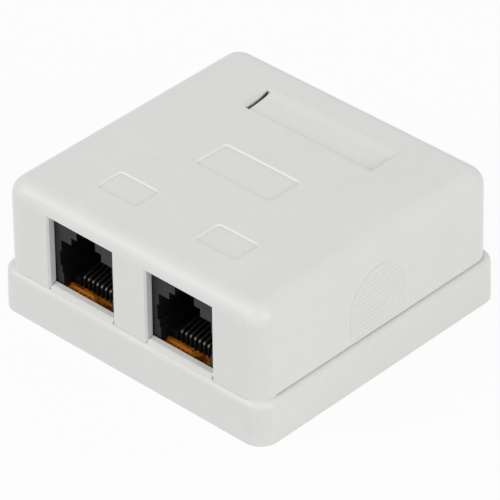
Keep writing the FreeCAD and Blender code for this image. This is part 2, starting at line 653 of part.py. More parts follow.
def port_opening(port_x):
    """A port through the front wall: open at the foot, with a bevelled outer edge."""
    half = PORT_WIDTH / 2
    wall_face = -COVER_HALF_Y
    cut = block(port_x - half, port_x + half, wall_face - PAST, -INNER_HALF_Y + PAST,
                RIM_HEIGHT - PAST, PORT_TOP)
    bevel = PORT_EDGE_CHAMFER
    lean = (PORT_TOP - RIM_HEIGHT) * math.tan(math.radians(COVER_DRAFT_DEG))
    deep = [vec(port_x - half, wall_face + bevel, RIM_HEIGHT - PAST),
            vec(port_x + half, wall_face + bevel, RIM_HEIGHT - PAST),
            vec(port_x + half, wall_face + bevel + lean, PORT_TOP),
            vec(port_x - half, wall_face + bevel + lean, PORT_TOP)]
    wide = 2 * bevel
    shallow = [vec(port_x - half - wide, wall_face - bevel, RIM_HEIGHT - PAST),
               vec(port_x + half + wide, wall_face - bevel, RIM_HEIGHT - PAST),
               vec(port_x + half + wide, wall_face - bevel + lean, PORT_TOP + wide),
               vec(port_x - half - wide, wall_face - bevel + lean, PORT_TOP + wide)]
    wires = [Part.makePolygon(points + [points[0]]) for points in (deep, shallow)]
    return [cut, Part.makeLoft(wires, True, True)]


def port_foot_rounds(port_x):
    """The rounded corner at the foot of each jamb."""
    rounds = []
    r = PORT_FOOT_R
    for lean in (-1, 1):
        x = port_x + lean * PORT_WIDTH / 2
        corner = block(min(x, x + lean * r), max(x, x + lean * r), -COVER_HALF_Y - PAST,
                       -INNER_HALF_Y + PAST, RIM_HEIGHT - PAST, RIM_HEIGHT + r)
        bar = Part.makeCylinder(r, 2 * BASE_WALL + 2 * PAST,
                                vec(x + lean * r, -COVER_HALF_Y - 2 * PAST, RIM_HEIGHT + r), vec(0, 1, 0))
        rounds.append(corner.cut(bar))
    return rounds


def grip_pad(side):
    """The raised arch of fine level ribs that the fingers press to free the cover."""
    half = GRIP_WIDTH / 2
    foot = RIM_HEIGHT + GRIP_FOOT
    spring_line = RIM_HEIGHT + GRIP_STRAIGHT
    inner = COVER_HALF_X - COVER_SIDE_WALL / 2
    face = COVER_HALF_X + GRIP_STANDOUT
    outline = [vec(inner, half, foot)]
    for step in range(GRIP_ARCH_STEPS + 1):
        turn = math.pi * step / GRIP_ARCH_STEPS
        outline.append(vec(inner, half * math.cos(turn), spring_line + half * math.sin(turn)))
    outline.append(vec(inner, -half, foot))
    pad = plate_from(outline, vec(face - inner, 0, 0))
    grooves = []
    z = foot + GRIP_GROOVE_PITCH / 2
    while z + GRIP_GROOVE_WIDTH < spring_line + half - GRIP_CROWN:
        grooves.append(block(face - GRIP_GROOVE_DEPTH, face + PAST, -half - PAST, half + PAST,
                             z, z + GRIP_GROOVE_WIDTH))
        z += GRIP_GROOVE_PITCH
    pad = pad.cut(grooves)
    pad.rotate(vec(COVER_HALF_X, 0, RIM_HEIGHT), vec(0, 1, 0), -COVER_DRAFT_DEG)
    if side < 0:
        pad = pad.mirror(vec(0, 0, 0), vec(1, 0, 0))
    return pad


def cover_shell():
    slab, label_cuts = label_recess()
    walls = cover_walls().cut(shadow_groove())
    extras = [slab, inner_lip()] + hold_down_ribs()
    for _, side in PORT_SIDES:
        extras.append(grip_pad(side))
        for y in (-LATCH_SPREAD / 2, LATCH_SPREAD / 2):
            extras.append(latch_tongue(side, y))
    body = walls.fuse(extras)
    cuts = label_cuts + top_plates()
    for _, side in PORT_SIDES:
        cuts += port_opening(side * PORT_X)
        cuts += port_foot_rounds(side * PORT_X)
    return body.cut(cuts).removeSplitter()


# ---------------------------------------------------------------- jack

def jack_housing(port_x):
    """The dark socket moulding: stepped plug opening, open wiring bay below, two board pegs."""
    half = JACK_WIDTH / 2
    body = block(-half, half, JACK_FRONT, JACK_REAR, BOARD_TOP, JACK_TOP)
    bay = SPRING_BAY_WIDTH / 2
    plug = PLUG_WIDTH / 2
    notch = NOTCH_WIDTH / 2
    notch_low = PLUG_FLOOR + NOTCH_LIFT
    notch_high = notch_low + NOTCH_HEIGHT
    profile = [(bay, SOCKET_FLOOR - PAST), (bay, PLUG_FLOOR), (plug, PLUG_FLOOR), (plug, notch_low),
               (notch, notch_low), (notch, notch_high), (plug, notch_high), (plug, PLUG_TOP),
               (LATCH_WIDE / 2, PLUG_TOP), (LATCH_WIDE / 2, LATCH_STEP), (LATCH_NARROW / 2, LATCH_STEP),
               (LATCH_NARROW / 2, LATCH_TOP)]
    socket = across_wall(mirrored(profile), JACK_FRONT - PAST, SOCKET_BACK)
    wiring = CARRIER_WIDTH / 2 + CARRIER_FIT
    bay_cut = block(-wiring, wiring, JACK_FRONT - PAST, JACK_FRONT + WIRING_BAY_DEPTH,
                    BOARD_TOP - PAST, SOCKET_FLOOR)
    body = body.cut([socket, bay_cut])
    pegs = []
    for lean in (-1, 1):
        pegs.append(pin(lean * PEG_X, JACK_FRONT + PEG_SETBACK, BOARD_TOP - PEG_LENGTH,
                        BOARD_TOP + ROOTED, PEG_R))
    body = body.fuse(pegs).removeSplitter()
    body.translate(vec(port_x, 0, 0))
    return body


def contact_xs(port_x):
    first = port_x - CONTACT_PITCH * (CONTACT_COUNT - 1) / 2
    return [first + CONTACT_PITCH * number for number in range(CONTACT_COUNT)]


def contact_carrier(port_x):
    """The amber strip on the socket floor: a groove for each spring, and a ridge and notches on one half."""
    half = CARRIER_WIDTH / 2
    body = block(port_x - half, port_x + half, JACK_FRONT + CARRIER_FIT, CARRIER_REAR,
                 BOARD_TOP, SOCKET_FLOOR)
    ridge_y = JACK_FRONT + GUIDE_RIDGE_SETBACK
    bay = SPRING_BAY_WIDTH / 2 - CARRIER_FIT
    body = body.fuse(block(port_x - bay, port_x, ridge_y, ridge_y + GUIDE_RIDGE_LENGTH,
                           SOCKET_FLOOR - ROOTED, SOCKET_FLOOR + GUIDE_RIDGE_HEIGHT))
    groove_floor = BOARD_TOP + SPRING_RUN_HEIGHT - SPRING_THICKNESS / 2
    groove_start = SPRING_Y - SPRING_THICKNESS / 2 - GROOVE_FIT
    notch_start = JACK_FRONT + GUIDE_NOTCH_SETBACK
    cuts = []
    for x in contact_xs(port_x):
        cuts.append(block(x - GROOVE_WIDTH / 2, x + GROOVE_WIDTH / 2, groove_start, CARRIER_REAR + PAST,
                          groove_floor, SOCKET_FLOOR + PAST))
        if x < port_x:
            cuts.append(block(x - GROOVE_WIDTH / 2, x + GROOVE_WIDTH / 2, notch_start,
                              notch_start + GUIDE_NOTCH_LENGTH, SOCKET_FLOOR - GUIDE_NOTCH_DEPTH,
                              SOCKET_FLOOR + PAST))
    return body.cut(cuts).removeSplitter()


def contact_comb(port_x):
    """The black insert that keeps the springs apart: ribs on a thin floor, and a back wall."""
    half = SPRING_BAY_WIDTH / 2 - COMB_FIT
    wall_front = COMB_BACK - COMB_BACK_THICKNESS
    top = SOCKET_FLOOR + COMB_HEIGHT
    body = block(port_x - half, port_x + half, COMB_FRONT, COMB_BACK, SOCKET_FLOOR, top)
    body = body.fuse(block(port_x - half, port_x + half, wall_front, COMB_BACK,
                           SOCKET_FLOOR, SOCKET_FLOOR + COMB_BACK_HEIGHT))
    slot_floor = SOCKET_FLOOR + COMB_FLOOR
    upright_rear = SPRING_Y + SPRING_THICKNESS / 2 + COMB_SLOT_BEHIND
    cuts = []
    for x in contact_xs(port_x):
        left = x - GROOVE_WIDTH / 2
        right = x + GROOVE_WIDTH / 2
        cuts.append(block(left, right, COMB_FRONT - PAST, wall_front, slot_floor, top + PAST))
        cuts.append(block(left, right, COMB_FRONT - PAST, upright_rear,
                          SOCKET_FLOOR - PAST, slot_floor + PAST))
    return body.cut(cuts).removeSplitter()


def turn_left(direction):
    return (-direction[1], direction[0])


def unit(start, end):
    run = (end[0] - start[0], end[1] - start[1])
    length = math.hypot(*run)
    return (run[0] / length, run[1] / length)


def moved(point, direction, distance):
    return (point[0] + direction[0] * distance, point[1] + direction[1] * distance)


def strip_side(route, bend_r, offset):
    """One long edge of a bent strip, as (y, z) points beside its route, with each bend in short steps."""
    points = []
    points.append(moved(route[0], turn_left(unit(route[0], route[1])), offset))
    for before, corner, after in zip(route, route[1:], route[2:]):
        into = unit(before, corner)
        out = unit(corner, after)
        cross = into[0] * out[1] - into[1] * out[0]
        turn = math.atan2(cross, into[0] * out[0] + into[1] * out[1])
        bend = math.copysign(1.0, turn)
        tangent_in = moved(corner, into, -bend_r * math.tan(abs(turn) / 2))
        centre = moved(tangent_in, turn_left(into), bend * bend_r)
        steps = math.ceil(abs(turn) / math.radians(BEND_STEP_DEG))
        for step in range(steps + 1):
            angle = math.atan2(into[1], into[0]) + turn * step / steps
            outward = (bend * math.sin(angle), -bend * math.cos(angle))
            points.append(moved(centre, outward, bend_r - bend * offset))
    points.append(moved(route[-1], turn_left(unit(route[-2], route[-1])), offset))
    return points


def bent_strip(route, bend_r, thickness, width, x):
    """A flat strip that follows the route, as wide as given and centred on x."""
    left = strip_side(route, bend_r, thickness / 2)
    right = strip_side(route, bend_r, -thickness / 2)
    outline = [vec(x - width / 2, y, z) for y, z in left + right[::-1]]
    return plate_from(outline, vec(width, 0, 0))


def tail_y(number):
    """Tails go down through the board in two rows, turn and turn about."""
    return JACK_FRONT + TAIL_FIRST_ROW + TAIL_ROW_STEP * (number % 2)


def contact_spring(x, number):
    """Tail, run under the comb, upright, knee, and the long springy finger."""
    run_z = BOARD_TOP + SPRING_RUN_HEIGHT
    knee_z = BOARD_TOP + SPRING_KNEE_HEIGHT
    tip_y = COMB_BACK - COMB_BACK_THICKNESS - SPRING_TIP_GAP
    tip_z = knee_z + (tip_y - SPRING_Y) * math.tan(math.radians(SPRING_SLOPE_DEG))
    y = tail_y(number)
    route = [(y, BOARD_UNDER - TAIL_LENGTH), (y, run_z), (SPRING_Y, run_z),
             (SPRING_Y, knee_z), (tip_y, tip_z)]
    return bent_strip(route, SPRING_BEND_R, SPRING_THICKNESS, SPRING_WIDTH, x)


# ---------------------------------------------------------------- terminal blocks

def terminal_places(block_x):
    """The (x, y) of each terminal: front row from left to right, then rear row."""
    first = block_x - TERMINAL_PITCH * (TERMINALS_PER_ROW - 1) / 2
    row_y = TERMINAL_FRONT + TERMINAL_ROW_DEPTH / 2
    rows = (row_y, row_y + TERMINAL_ROW_DEPTH + TERMINAL_CHANNEL)
    return [(first + TERMINAL_PITCH * number, y) for y in rows for number in range(TERMINALS_PER_ROW)]


def idc_block(block_x):
    half = TERMINAL_WIDTH / 2
    top = BOARD_TOP + TERMINAL_HEIGHT
    rear = TERMINAL_FRONT + TERMINAL_DEPTH
    body = block(block_x - half, block_x + half, TERMINAL_FRONT, rear, BOARD_TOP, top)
    channel_y = TERMINAL_FRONT + TERMINAL_ROW_DEPTH
    cuts = [block(block_x - half - PAST, block_x + half + PAST, channel_y, channel_y + TERMINAL_CHANNEL,
                  BOARD_TOP + TERMINAL_CHANNEL_FLOOR, top + PAST)]
    slit = WIRE_SLIT / 2
    mouth = WIRE_MOUTH / 2
    slit_floor = top - WIRE_SLIT_DEPTH
    for x, _ in terminal_places(block_x)[:TERMINALS_PER_ROW]:
        half_slit = [(slit, slit_floor), (slit, top - WIRE_MOUTH_DEPTH), (mouth, top), (mouth, top + PAST)]
        outline = [(x + dx, z) for dx, z in mirrored(half_slit)]
        cuts.append(across_wall(outline, TERMINAL_FRONT - PAST, rear + PAST))
    pocket = BLADE_WIDTH / 2 + BLADE_FIT
    deep = BLADE_THICKNESS / 2 + BLADE_FIT
    for x, y in terminal_places(block_x):
        cuts.append(block(x - pocket, x + pocket, y - deep, y + deep, BOARD_TOP - PAST,
                          BOARD_TOP + BLADE_HEIGHT + BLADE_FIT))
    return body.cut(cuts).removeSplitter()


def idc_blade(x, y):
    """A forked blade that cuts into the wire, with its tail through the board."""
    tail = BLADE_TAIL_WIDTH / 2
    half = BLADE_WIDTH / 2
    slit = BLADE_SLIT / 2
    top = BOARD_TOP + BLADE_HEIGHT
    fork = [(tail, BOARD_UNDER - BLADE_TAIL_LENGTH), (tail, BOARD_TOP), (half, BOARD_TOP),
            (half, top - BLADE_SHOULDER), (half - BLADE_SHOULDER, top), (slit, top - BLADE_MOUTH_DEPTH),
            (slit, top - BLADE_SLIT_DEPTH)]
    outline = [(x + dx, z) for dx, z in mirrored(fork)]
    return across_wall(outline, y - BLADE_THICKNESS / 2, y + BLADE_THICKNESS / 2)


# ---------------------------------------------------------------- board

def circuit_board():
    body = block(-BOARD_HALF, BOARD_HALF, JACK_FRONT, BOARD_REAR, BOARD_UNDER, BOARD_TOP)
    holes = []
    small_holes = []
    for _, side in PORT_SIDES:
        port_x = side * PORT_X
        holes.append((side * POST_X, FRONT_POST_Y, PIN_R + PIN_FIT))
        holes.append((side * POST_X, REAR_POST_Y, SCREW_R + SCREW_HOLE_FIT))
        for lean in (-1, 1):
            holes.append((port_x + lean * PEG_X, JACK_FRONT + PEG_SETBACK, PEG_R + PEG_FIT))
        for number, x in enumerate(contact_xs(port_x)):
            small_holes.append((x, tail_y(number), TAIL_HOLE_R))
        for x, y in terminal_places(side * TERMINAL_X):
            small_holes.append((x, y, BLADE_HOLE_R))
    low = BOARD_UNDER - PAST
    high = BOARD_TOP + PAST
    cuts = [pin_hole(x, y, low, high, r) for x, y, r in holes]
    cuts += [pin_hole(x, y, low, high, r, SMALL_HOLE_SIDES) for x, y, r in small_holes]
    return body.cut(cuts)


def board_screw(x):
    head_top = BOARD_TOP + SCREW_HEAD_HEIGHT
    shank = pin(x, REAR_POST_Y, BOARD_TOP - SCREW_LENGTH, BOARD_TOP + ROOTED, SCREW_R)
    side_top = head_top - SCREW_CROWN_HEIGHT
    crown_r = SCREW_HEAD_R - SCREW_CROWN_HEIGHT
    levels = ((BOARD_TOP, SCREW_HEAD_R), (side_top, SCREW_HEAD_R), (head_top, crown_r))
    head = flat_sided([ring_of_points(x, REAR_POST_Y, z, r, SCREW_HEAD_SIDES) for z, r in levels])
    reach = min(SCREW_RECESS_REACH, crown_r)
    half = SCREW_RECESS_WIDTH / 2
    floor = head_top - SCREW_RECESS_DEPTH
    bars = [block(x - reach, x + reach, REAR_POST_Y - half, REAR_POST_Y + half, floor, head_top + PAST),
            block(x - half, x + half, REAR_POST_Y - reach, REAR_POST_Y + reach, floor, head_top + PAST)]
    return head.fuse(shank).cut(bars).removeSplitter()


def main():
    os.makedirs("parts", exist_ok=True)
    save("base_shell", base_shell())
    save("cover_shell", cover_shell())
    save("circuit_board", circuit_board())
    save("board_screws", Part.makeCompound([board_screw(-POST_X), board_screw(POST_X)]))
    for name, side in PORT_SIDES:
        port_x = side * PORT_X
        save("jack_housing_" + name, jack_housing(port_x))
        save("contact_carrier_" + name, contact_carrier(port_x))
        save("contact_comb_" + name, contact_comb(port_x))
        for number, x in enumerate(contact_xs(port_x)):
            save("contact_spring_%s_%d" % (name, number + 1), contact_spring(x, number))
        save("idc_block_" + name, idc_block(side * TERMINAL_X))
        for number, (x, y) in enumerate(terminal_places(side * TERMINAL_X)):
            save("idc_blade_%s_%d" % (name, number + 1), idc_blade(x, y))


main()
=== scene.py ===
import json
import math

import bpy
from mathutils import Matrix, Vector

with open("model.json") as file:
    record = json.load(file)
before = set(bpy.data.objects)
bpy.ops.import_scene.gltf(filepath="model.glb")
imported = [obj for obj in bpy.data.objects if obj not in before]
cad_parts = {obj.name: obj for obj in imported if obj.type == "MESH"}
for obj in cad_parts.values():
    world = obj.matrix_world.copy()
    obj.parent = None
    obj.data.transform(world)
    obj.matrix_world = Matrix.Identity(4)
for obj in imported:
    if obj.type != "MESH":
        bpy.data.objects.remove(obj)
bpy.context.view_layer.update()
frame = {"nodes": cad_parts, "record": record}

# Surface mount jack box in a plain studio: every node of the model keeps its shape and gets
# its real finish. Metres; the ports face -Y and Z is up from the wall.

MM = 0.001

# Camera, in front of the ports and to their right, aimed a little below the middle of the box
CAMERA_AZIMUTH = 43.827
CAMERA_ROLL = -0.942
CAMERA_PLACE = Vector((410.05, -427.19, 430.67)) * MM
CAMERA_AIM = Vector((0.95, -0.73, 10.94)) * MM
CAMERA_LENS = 310.33
CAMERA_NEAR = 0.05
CAMERA_FAR = 20.0
SENSOR_WIDTH = 36.0

# Studio
ROOM_LIGHT = 0.567            # soft light from all round
FLOOR_HALF = 3.0
FLOOR_GREY = 0.80
FLOOR_GLOW = 0.93             # share of the floor that shows as plain white
SHOWN_WHITE = 1.0
SOFTBOX_SIZE = 0.8
SOFTBOX_AIM = Vector((0.0, 0.0, 0.01))
SOFTBOXES = (                 # name, place, power, colour
    ("front_softbox", (-0.421, -0.73, 0.707), 3.98, (0.985, 1.0, 1.01)),
    ("right_softbox", (1.02, 0.0, 0.412), 3.77, (1.0, 1.0, 0.94)),
)

# Skin of the mouldings; scales count features per metre
GRAIN_SCALE = 4200.0          # spark-eroded grain
GRAIN_HEIGHT = 0.004 * MM
FLOW_SCALE = 90.0             # slow changes along a face
FLOW_DETAIL = 7.0             # smaller changes within them
TONE_SPAN = (0.3, 0.7)
TONE_SHARES = (0.6, 0.4)      # slow changes, smaller changes
FLOW_GLOSS_SPAN = (0.35, 0.65)
GLOSS_SHARES = (0.7, 0.3)     # slow changes, grain
GLOSS_SPAN = (0.2, 0.8)
PLASTIC_SPREAD = 0.04         # of the roughness, to each side
PLASTIC_RELIEF = 0.4
CLOUD_STRETCH = (0.55, 1.2, 1.0)
CLOUD_SPAN = (0.46, 0.6)

# Arrises and corners
EDGE_ROUND = 0.05             # millimetres
EDGE_SAMPLES = 6
EDGE_TURN = (0.01, 0.16)
EDGE_SHINE = 0.06             # handling polishes the arrises
# masks for light and shade painted into the colour at arrises, corners and slots
ARRIS_WIDTH = 0.13 * MM
ARRIS_TURN = (0.004, 0.08)
CORNER_REACH = 1.5 * MM
CORNER_SAMPLES = 8
CORNER_OPENNESS = (0.76, 0.985)
SLOT_OPENNESS = (0.36, 0.48)
LEVEL_FACING = (0.85, 0.98)

# Metal
LINE_SCALE = 9000.0           # lines across the drawing direction
LINE_HEIGHT = 0.003 * MM
LINE_STRETCH = (1.0, 0.04, 0.25)
PATCH_SCALE = 1100.0
METAL_SHARES = (0.6, 0.4)     # lines, patches
TARNISH_SPAN = (0.45, 0.75)
TARNISH_MOST = 0.35
METAL_BRIGHTER = 0.06         # of the roughness, down and up
METAL_DULLER = 0.1

# Circuit board
TRACK_PITCH = 2.2 * MM        # copper tracks under the lacquer
TRACK_EDGE = (0.14, 0.18)     # from the middle of a track, in pitches
TRACK_HEIGHT = 0.03 * MM
TRACK_RELIEF = 0.6
TRACK_FACING = (0.9, 0.99)    # on the flat faces only
JOG_SCALE = 45.0
JOG_STEPS = 4.0
JOG_SHIFT = 0.5 * TRACK_PITCH
LACQUER_GRAIN = 2600.0
LACQUER_FLOW = 140.0
LACQUER_TONE = 0.15
LACQUER_SPREAD = 0.05


FLOAT = "NodeSocketFloat"
VECTOR = "NodeSocketVector"


# ---------------------------------------------------------------- node helpers

def tree_of(owner):
    owner.use_nodes = True
    owner.node_tree.nodes.clear()
    return owner.node_tree


def add(tree, kind, **settings):
    node = tree.nodes.new(kind)
    for key, value in settings.items():
        setattr(node, key, value)
    return node


def join(tree, *pairs):
    for source, target in pairs:
        tree.links.new(source, target)


def arithmetic(tree, operation, first, second=None, clamp=False):
    """A Math node; each operand is a socket or a number."""
    node = add(tree, "ShaderNodeMath", operation=operation, use_clamp=clamp)
    for socket, operand in zip(node.inputs, (first, second)):
        if operand is None:
            continue
        if isinstance(operand, (int, float)):
            socket.default_value = operand
        else:
            tree.links.new(operand, socket)
    return node.outputs[0]


def weighted(tree, first, second, shares):
    """The sum of two sockets, each times its share."""
    first_part = arithmetic(tree, "MULTIPLY", first, shares[0])
    second_part = arithmetic(tree, "MULTIPLY", second, shares[1])
    return arithmetic(tree, "ADD", first_part, second_part)


def blend_colours(tree, factor, first, second):
    """A Mix node for colours; the colours are sockets or plain values."""
    node = add(tree, "ShaderNodeMix", data_type="RGBA")
    join(tree, (factor, node.inputs[0]))
    for index, operand in ((6, first), (7, second)):
        if isinstance(operand, bpy.types.NodeSocket):
            tree.links.new(operand, node.inputs[index])
        else:
            node.inputs[index].default_value = (*operand, 1.0)
    return node.outputs[2]


def noise(tree, coordinates, scale, detail=2.0, roughness=0.5):
    """A Noise texture; the scale is a socket or a number."""
    node = add(tree, "ShaderNodeTexNoise", noise_dimensions="3D")
    node.inputs["Detail"].default_value = detail
    node.inputs["Roughness"].default_value = roughness
    if isinstance(scale, (int, float)):
        node.inputs["Scale"].default_value = scale
    else:
        tree.links.new(scale, node.inputs["Scale"])
    tree.links.new(coordinates, node.inputs["Vector"])
    return node.outputs["Fac"]


def remap(tree, value, low, high, to_low=0.0, to_high=1.0):
    node = add(tree, "ShaderNodeMapRange", clamp=True)
    for index, number in enumerate((low, high, to_low, to_high), start=1):
        node.inputs[index].default_value = number
    tree.links.new(value, node.inputs["Value"])
    return node.outputs["Result"]


def object_place(tree):
    return add(tree, "ShaderNodeTexCoord").outputs["Object"]


def stretched(tree, coordinates, stretch):
    node = add(tree, "ShaderNodeMapping")
    node.inputs["Scale"].default_value = stretch
    tree.links.new(coordinates, node.inputs["Vector"])
    return node.outputs["Vector"]


def split(tree, vector):
    node = add(tree, "ShaderNodeSeparateXYZ")
    tree.links.new(vector, node.inputs[0])
    return node.outputs


def flat_normal(tree):
    return add(tree, "ShaderNodeNewGeometry").outputs["Normal"]


def turned_normal(tree, reach):
    """The normal that turns over each arris, and how far it has turned from the face's own."""
    bevel = add(tree, "ShaderNodeBevel", samples=EDGE_SAMPLES)
    facing = add(tree, "ShaderNodeVectorMath", operation="DOT_PRODUCT")
    normal = bevel.outputs["Normal"]
    join(tree, (reach, bevel.inputs["Radius"]), (flat_normal(tree), facing.inputs[0]),
         (normal, facing.inputs[1]))
    return normal, arithmetic(tree, "SUBTRACT", 1.0, facing.outputs["Value"])


def new_group(name, inputs, outputs):
    """A shader node group: inputs are (name, default), outputs (name, type)."""
    group = bpy.data.node_groups.new(name, "ShaderNodeTree")
    for label, default in inputs:
        socket = group.interface.new_socket(name=label, in_out="INPUT", socket_type=FLOAT)
        socket.default_value = default
    for label, kind in outputs:
        group.interface.new_socket(name=label, in_out="OUTPUT", socket_type=kind)
    entry = add(group, "NodeGroupInput")
    leave = add(group, "NodeGroupOutput")
    return group, entry.outputs, leave.inputs


def place_group(tree, group, **values):
    node = add(tree, "ShaderNodeGroup", node_tree=group)
    for label, value in values.items():
        node.inputs[label.replace("_", " ")].default_value = value
    return node.outputs


# ---------------------------------------------------------------- shared effects

def moulded_grain_group():
    """The spark-eroded skin of a moulded face: fine grain, faint flow and a little gloss change."""
    group, entry, leave = new_group(
        "Moulded grain", [("Grain scale", GRAIN_SCALE), ("Flow scale", FLOW_SCALE)],
        [("Height", FLOAT), ("Tone", FLOAT), ("Gloss", FLOAT)])
    place = object_place(group)
    fine = noise(group, place, entry["Grain scale"], 3.0, 0.6)
    broad = noise(group, place, entry["Flow scale"], 3.0, 0.55)
    middle = noise(group, place, arithmetic(group, "MULTIPLY", entry["Flow scale"], FLOW_DETAIL))
    tone = weighted(group, remap(group, broad, *TONE_SPAN), remap(group, middle, *TONE_SPAN),
                    TONE_SHARES)
    gloss = weighted(group, remap(group, broad, *FLOW_GLOSS_SPAN), fine, GLOSS_SHARES)
    join(group, (fine, leave["Height"]), (tone, leave["Tone"]), (gloss, leave["Gloss"]))
    return group


def soft_edge_group():
    """Rounded arrises: a normal that turns over each edge, and a mask of where the edges are."""
    group, entry, leave = new_group(
        "Soft edges", [("Radius", EDGE_ROUND * MM)], [("Normal", VECTOR), ("Edge", FLOAT)])
    normal, turn = turned_normal(group, entry["Radius"])
    join(group, (normal, leave["Normal"]), (remap(group, turn, *EDGE_TURN), leave["Edge"]))
    return group


def corner_group():
    """Masks for light and shade painted into the colour where a moulding turns. Painted corner shade:
    painted shade in the corners of level floors. Painted arris light: a painted highlight on the
    arrises, the ribs and the walls of small recesses. Painted slot shade: painted shade on the walls
    of narrow slots."""
    group, entry, leave = new_group(
        "Corners and arrises", [("Corner reach", CORNER_REACH), ("Arris width", ARRIS_WIDTH)],
        [("Painted corner shade", FLOAT), ("Painted arris light", FLOAT), ("Painted slot shade", FLOAT)])
    openness = add(group, "ShaderNodeAmbientOcclusion", samples=CORNER_SAMPLES, only_local=True)
    join(group, (entry["Corner reach"], openness.inputs["Distance"]))
    turn = turned_normal(group, entry["Arris width"])[1]
    tight = remap(group, openness.outputs["AO"], *CORNER_OPENNESS, 1.0, 0.0)
    closed = remap(group, openness.outputs["AO"], *SLOT_OPENNESS, 1.0, 0.0)
    level = remap(group, split(group, flat_normal(group))["Z"], *LEVEL_FACING)
    arris = remap(group, turn, *ARRIS_TURN)
    # painted shade: darker in the tight corners of level floors, found by ambient occlusion
    corner_shade_mask = arithmetic(group, "MULTIPLY", tight, level)
    # painted highlight: lighter on the arrises and on tight corners that are not level floors
    either = arithmetic(group, "MAXIMUM", tight, arris)
    painted_arris_light = arithmetic(group, "SUBTRACT", either, corner_shade_mask, clamp=True)
    # painted shade: very dark on the walls of narrow slots that are not level
    slot_shade_mask = arithmetic(group, "SUBTRACT", closed, level, clamp=True)
    join(group, (corner_shade_mask, leave["Painted corner shade"]), (painted_arris_light, leave["Painted arris light"]), (slot_shade_mask, leave["Painted slot shade"]))
    return group


def drawn_lines_group():
    """Fine lines left by drawing or stamping metal along Y."""
    group, entry, leave = new_group(
        "Drawn lines", [("Line scale", LINE_SCALE)], [("Height", FLOAT), ("Gloss", FLOAT)])
    place = object_place(group)
    lines = noise(group, stretched(group, place, LINE_STRETCH), entry["Line scale"])
    patches = noise(group, place, PATCH_SCALE)
    gloss = weighted(group, lines, patches, METAL_SHARES)
    join(group, (lines, leave["Height"]), (gloss, leave["Gloss"]))
    return group


GRAIN = moulded_grain_group()
SOFT_EDGE = soft_edge_group()
LINES = drawn_lines_group()
CORNERS = corner_group()


# ---------------------------------------------------------------- finishes

def finish_base(name):
    material = bpy.data.materials.new(name)
    tree = tree_of(material)
    out = add(tree, "ShaderNodeOutputMaterial")
    surface = add(tree, "ShaderNodeBsdfPrincipled")
    join(tree, (surface.outputs[0], out.inputs["Surface"]))
    return material, tree, surface


def scaled(colour, share):
    return tuple(channel * share for channel in colour)


def add_relief(tree, surface, height, strength, distance, normal):
    """Fine relief on a face whose arrises are already rounded."""
    bump = add(tree, "ShaderNodeBump")
    bump.inputs["Strength"].default_value = strength
    bump.inputs["Distance"].default_value = distance
    join(tree, (height, bump.inputs["Height"]), (normal, bump.inputs["Normal"]),
         (bump.outputs["Normal"], surface.inputs["Normal"]))


def clouded(tree, tinted, scale, colour):
    """Cloudy streaks in a see-through plastic."""
    place = stretched(tree, object_place(tree), CLOUD_STRETCH)
    cloudy = remap(tree, noise(tree, place, scale, 2.0, 0.6), *CLOUD_SPAN)
    return blend_colours(tree, cloudy, tinted, colour)


def moulded_plastic(name, colour, roughness, flow=FLOW_SCALE, tone=0.04, specular=0.5,
                    painted_corner_shade=0.0, painted_arris_light=0.0, slots=0.0, clouds=None):
    """Injection moulded plastic: grain, soft arrises, small changes of tone and gloss. The corner and
    slot shares paint shade into the corners and the narrow slots, and the arris share paints a
    highlight on the arrises."""
    material, tree, surface = finish_base(name)
    skin = place_group(tree, GRAIN, Flow_scale=flow)
    arris = place_group(tree, SOFT_EDGE)
    turns = place_group(tree, CORNERS)
    tinted = blend_colours(tree, skin["Tone"], scaled(colour, 1 - tone), colour)
    if clouds:
        tinted = clouded(tree, tinted, *clouds)
    # light and shade painted into the base colour: a highlight on the arrises, shade in the corners
    # and the narrow slots
    for mask, share in (("Painted arris light", 1 + painted_arris_light), ("Painted corner shade", 1 - painted_corner_shade), ("Painted slot shade", 1 - slots)):
        tinted = blend_colours(tree, turns[mask], tinted, scaled(colour, share))
    shine = remap(tree, skin["Gloss"], *GLOSS_SPAN,
                  roughness - PLASTIC_SPREAD, roughness + PLASTIC_SPREAD)
    polish = arithmetic(tree, "MULTIPLY", arris["Edge"], EDGE_SHINE)
    join(tree, (tinted, surface.inputs["Base Color"]),
         (arithmetic(tree, "SUBTRACT", shine, polish), surface.inputs["Roughness"]))
    add_relief(tree, surface, skin["Height"], PLASTIC_RELIEF, GRAIN_HEIGHT, arris["Normal"])
    surface.inputs["Specular IOR Level"].default_value = specular
    return material


def drawn_metal(name, colour, roughness, tarnish, relief=0.3, edge=EDGE_ROUND):
    """Plated or bright metal with fine drawing lines and a breath of tarnish."""
    material, tree, surface = finish_base(name)
    lines = place_group(tree, LINES)
    arris = place_group(tree, SOFT_EDGE, Radius=edge * MM)
    dulled = remap(tree, lines["Gloss"], *TARNISH_SPAN, 0.0, TARNISH_MOST)
    shine = remap(tree, lines["Gloss"], *GLOSS_SPAN,
                  roughness - METAL_BRIGHTER, roughness + METAL_DULLER)
    join(tree, (blend_colours(tree, dulled, colour, tarnish), surface.inputs["Base Color"]),
         (shine, surface.inputs["Roughness"]))
    add_relief(tree, surface, lines["Height"], relief, LINE_HEIGHT, arris["Normal"])
    surface.inputs["Metallic"].default_value = 1.0
    return material


